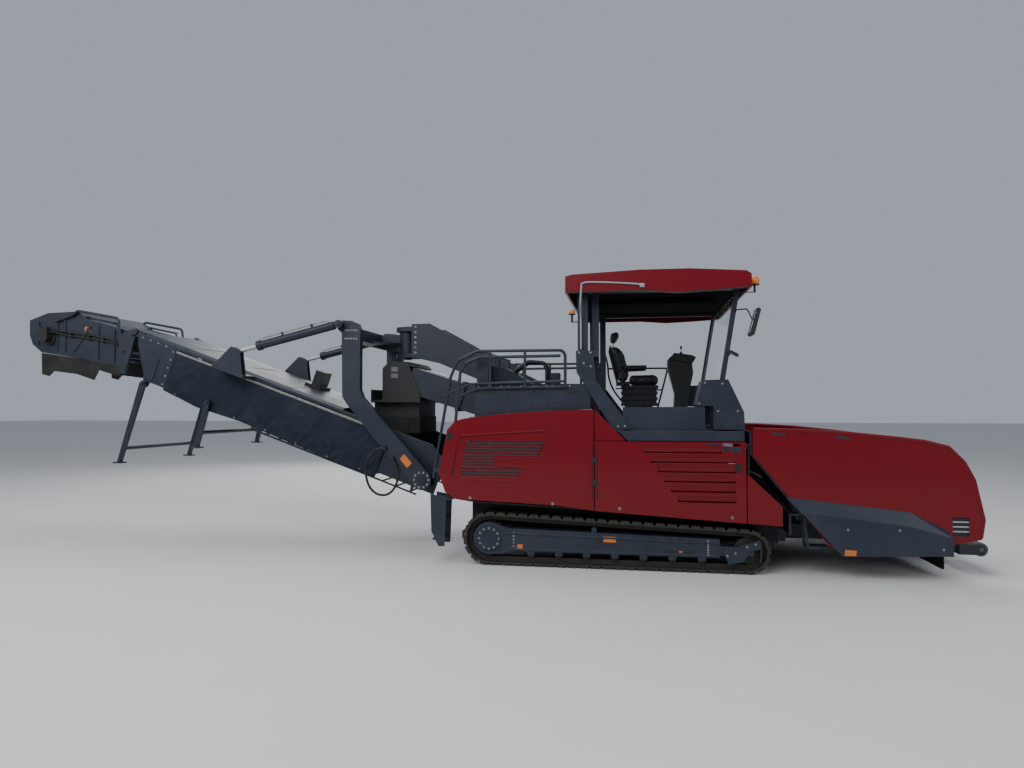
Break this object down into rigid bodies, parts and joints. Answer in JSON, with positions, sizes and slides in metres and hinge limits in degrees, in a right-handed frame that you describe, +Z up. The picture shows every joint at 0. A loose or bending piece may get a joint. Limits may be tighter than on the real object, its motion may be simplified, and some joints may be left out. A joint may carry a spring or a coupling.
{
  "type": "material transfer vehicle",
  "caption": "Tracked road-building machine that takes hot mix from lorries in a winged hopper and passes it on over a slewing, raisable rear conveyor with a folding tip.",
  "frame": {"origin": "on the ground below the middle of the bounding box", "axes": "+X towards the hopper, which is the machine's front, +Y to its left, +Z up"},
  "size_m": [13.682, 3.2, 3.748],
  "materials": {
    "amber_lens": "amber lens over a black base",
    "anthracite_paint": "semi-matt anthracite enamel",
    "belt_rubber": "dull black belting",
    "black_plastic": "black moulded plastic",
    "black_steel": "matt black paint over rough steel",
    "clear_glass": "clear laminated glass",
    "cover_cloth": "dark wrinkled tarpaulin",
    "galvanised": "light grey coated tube",
    "grey_paint": "semi-matt mid grey enamel",
    "red_paint": "glossy deep crimson enamel",
    "rod_chrome": "hard chrome",
    "roller_steel": "bare steel worn by tyres",
    "seat_vinyl": "black grained vinyl",
    "track_steel": "worn, dusty cast steel with rubber-grey pads"
  },
  "bodies": {
    "chassis": {"beacons": "amber_lens", "boarding_ladder": "anthracite_paint", "control_console": "black_plastic", "corner_panels": "red_paint", "discharge_chute": "black_steel", "engine_block": "grey_paint", "feed_conveyor_belt": "belt_rubber", "feed_conveyor_housing": "anthracite_paint", "front_apron": "belt_rubber", "front_consoles": "anthracite_paint", "handrails": "anthracite_paint", "hopper_base": "anthracite_paint", "main_frame": "black_steel", "mirror_and_lamps": "black_plastic", "operator_seat": "seat_vinyl", "platform_deck": "anthracite_paint", "rear_hood": "anthracite_paint", "roof_lining": "black_plastic", "roof_pillars": "anthracite_paint", "roof_shell": "red_paint", "running_gear_left": "track_steel", "running_gear_right": "track_steel", "seat_base": "black_plastic", "side_bay_left": "black_steel", "side_bay_right": "black_steel", "slew_boom": "anthracite_paint", "tie_down_lugs": "anthracite_paint", "track_frame_left": "anthracite_paint", "track_frame_right": "anthracite_paint", "track_left": "track_steel", "track_right": "track_steel", "windscreen": "clear_glass"},
    "yoke": {"yoke_frame": "anthracite_paint"},
    "conveyor": {"conveyor_frame": "anthracite_paint", "conveyor_belt": "belt_rubber", "conveyor_covers": "anthracite_paint", "side_tarp_left": "cover_cloth", "side_tarp_right": "cover_cloth", "conveyor_drive": "black_plastic"},
    "tip": {"tip_frame": "anthracite_paint", "tip_belt": "belt_rubber", "tip_skirt": "belt_rubber", "tip_motor": "black_steel"},
    "barrel_left": {"lift_barrel_left": "anthracite_paint"},
    "barrel_right": {"lift_barrel_right": "anthracite_paint"},
    "rod_left": {"lift_rod_left": "rod_chrome"},
    "rod_right": {"lift_rod_right": "rod_chrome"},
    "rear_legs": {"parking_legs_rear": "galvanised"},
    "front_legs": {"parking_legs_front": "galvanised"},
    "wing_left": {"hopper_wing_left": "red_paint", "wing_skirt_left": "grey_paint"},
    "wing_right": {"hopper_wing_right": "red_paint", "wing_skirt_right": "grey_paint"},
    "push_beam": {"push_beam": "anthracite_paint"},
    "roller_left": {"push_roller_left": "roller_steel"},
    "roller_right": {"push_roller_right": "roller_steel"},
    "engine_door_left": {"engine_door_left": "red_paint"},
    "engine_door_right": {"engine_door_right": "red_paint"},
    "service_door_left": {"service_door_left": "red_paint"},
    "service_door_right": {"service_door_right": "red_paint"}
  },
  "joints": [
    {"name": "conveyor_slew", "type": "hinge", "parent": "chassis", "child": "yoke", "pos_m": [-0.859, 0, 3], "axis": [0, 0, 1], "range_deg": [-55, 55]},
    {"name": "conveyor_lift", "type": "hinge", "parent": "yoke", "child": "conveyor", "pos_m": [-0.344, 0, 1.03], "axis": [0, 1, 0], "range_deg": [-13, 2]},
    {"name": "lift_barrel_tilt_left", "type": "hinge", "parent": "yoke", "child": "barrel_left", "pos_m": [-1.536, 1.06, 3.213], "axis": [0, 1, 0], "range_deg": [-16.11, 2.65]},
    {"name": "lift_rod_slide_left", "type": "slide", "parent": "barrel_left", "child": "rod_left", "axis": [-0.973, 0, -0.2307], "range_m": [-0.087, 0.5602]},
    {"name": "lift_barrel_tilt_right", "type": "hinge", "parent": "yoke", "child": "barrel_right", "pos_m": [-1.536, -1.06, 3.213], "axis": [0, 1, 0], "range_deg": [-16.11, 2.65]},
    {"name": "lift_rod_slide_right", "type": "slide", "parent": "barrel_right", "child": "rod_right", "axis": [-0.973, 0, -0.2307], "range_m": [-0.087, 0.5602]},
    {"name": "tip_fold", "type": "hinge", "parent": "conveyor", "child": "tip", "pos_m": [-4.944, 0, 3.19], "axis": [0, -1, 0], "range_deg": [0, 20]},
    {"name": "rear_legs_fold", "type": "hinge", "parent": "conveyor", "child": "rear_legs", "pos_m": [-4.749, 0, 2.4], "axis": [0, -1, 0], "range_deg": [0, 50]},
    {"name": "front_legs_fold", "type": "hinge", "parent": "conveyor", "child": "front_legs", "pos_m": [-3.676, 0, 2.107], "axis": [0, -1, 0], "range_deg": [0, 60]},
    {"name": "hopper_wing_left", "type": "hinge", "parent": "chassis", "child": "wing_left", "pos_m": [5.456, 0.75, 0.56], "axis": [1, 0, 0], "range_deg": [0, 50]},
    {"name": "hopper_wing_right", "type": "hinge", "parent": "chassis", "child": "wing_right", "pos_m": [5.456, -0.75, 0.56], "axis": [-1, 0, 0], "range_deg": [0, 50]},
    {"name": "push_beam_swivel", "type": "hinge", "parent": "chassis", "child": "push_beam", "pos_m": [6.441, 0, 0.29], "axis": [0, 0, 1], "range_deg": [-8, 8]},
    {"name": "push_roller_left", "type": "hinge", "parent": "push_beam", "child": "roller_left", "pos_m": [6.756, 0.472, 0.29], "axis": [0, 1, 0], "continuous": true},
    {"name": "push_roller_right", "type": "hinge", "parent": "push_beam", "child": "roller_right", "pos_m": [6.756, -0.472, 0.29], "axis": [0, 1, 0], "continuous": true},
    {"name": "engine_door_left", "type": "hinge", "parent": "chassis", "child": "engine_door_left", "pos_m": [2.038, 1.508, 1.3], "axis": [0, 0, -1], "range_deg": [0, 85]},
    {"name": "engine_door_right", "type": "hinge", "parent": "chassis", "child": "engine_door_right", "pos_m": [2.038, -1.508, 1.3], "axis": [0, 0, 1], "range_deg": [0, 85]},
    {"name": "service_door_left", "type": "hinge", "parent": "chassis", "child": "service_door_left", "pos_m": [2.098, 1.508, 1.2], "axis": [0, 0, 1], "range_deg": [0, 85]},
    {"name": "service_door_right", "type": "hinge", "parent": "chassis", "child": "service_door_right", "pos_m": [2.098, -1.508, 1.2], "axis": [0, 0, -1], "range_deg": [0, 85]}
  ],
  "couplings": [
    {"joint": "lift_barrel_tilt_left", "follows": "conveyor_lift", "ratio": 1.2},
    {"joint": "lift_rod_slide_left", "follows": "conveyor_lift", "m_per_rad": -2.44},
    {"joint": "lift_barrel_tilt_right", "follows": "conveyor_lift", "ratio": 1.2},
    {"joint": "lift_rod_slide_right", "follows": "conveyor_lift", "m_per_rad": -2.44}
  ]
}
